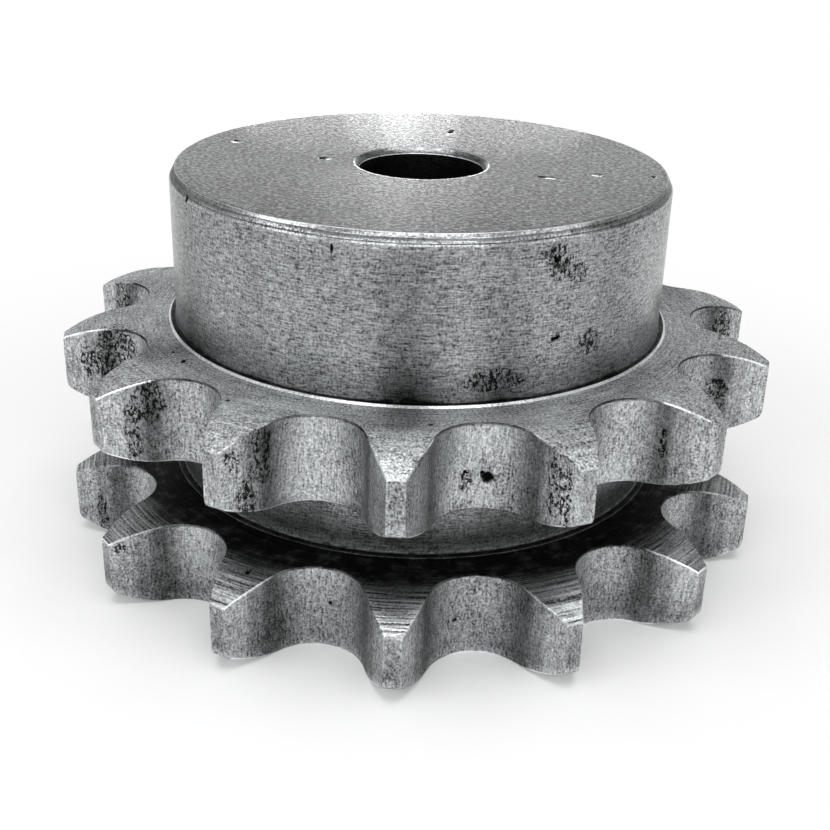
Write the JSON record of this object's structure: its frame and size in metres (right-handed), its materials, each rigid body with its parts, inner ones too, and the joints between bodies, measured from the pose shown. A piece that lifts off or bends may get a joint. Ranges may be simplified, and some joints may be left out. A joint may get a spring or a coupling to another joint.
{
  "type": "double-strand roller chain sprocket",
  "caption": "Steel sprocket for double-strand roller chain: two equal toothed rows on a round core, a plain hub on one side and a through bore.",
  "frame": {"origin": "centre of the bore on the flat face of the lower toothed row, which the part stands on", "axes": "+Z along the bore axis, from the toothed rows towards the hub; one tooth of each row points along -Y"},
  "size_m": [0.0912, 0.093, 0.05],
  "materials": {
    "steel": "machined, dull"
  },
  "bodies": {
    "root": {"sprocket": "steel"}
  },
  "joints": []
}
